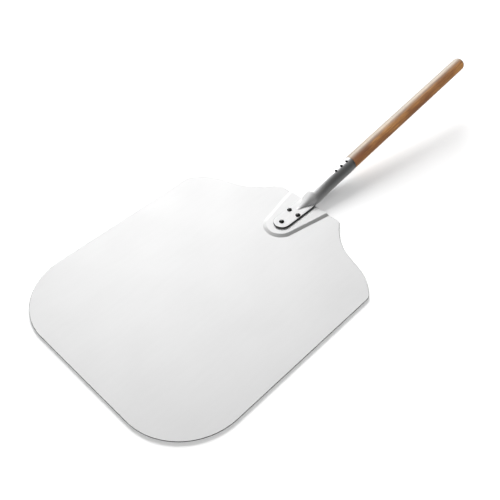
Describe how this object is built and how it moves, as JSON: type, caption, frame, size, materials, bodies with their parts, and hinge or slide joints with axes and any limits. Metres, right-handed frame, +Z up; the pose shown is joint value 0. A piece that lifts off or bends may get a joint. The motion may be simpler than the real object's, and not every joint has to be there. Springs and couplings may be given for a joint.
{
  "type": "pizza peel",
  "caption": "Flat metal peel with rounded front corners and a stepped-in neck, riveted to a tube socket that holds a round wooden handle.",
  "frame": {"origin": "centre of the blade's flat underside, half-way along the blade and on its centre line", "axes": "+Y runs from the blade's front edge to the handle, +Z is up out of the blade's top face, +X is across the blade"},
  "size_m": [0.404, 0.8886, 0.0788],
  "materials": {
    "blade": "satin rolled sheet",
    "socket": "drawn tube, lightly polished",
    "rivet": "dark steel domed rivets",
    "pin": "dark steel pins",
    "handle_wood": "smooth, lightly oiled dowel"
  },
  "bodies": {
    "root": {"blade": "blade", "socket": "socket", "handle": "handle_wood", "tongue_rivet_front": "rivet", "tongue_rivet_left": "rivet", "tongue_rivet_right": "rivet", "socket_pin_1": "pin", "socket_pin_2": "pin", "socket_pin_3": "pin"}
  },
  "joints": []
}
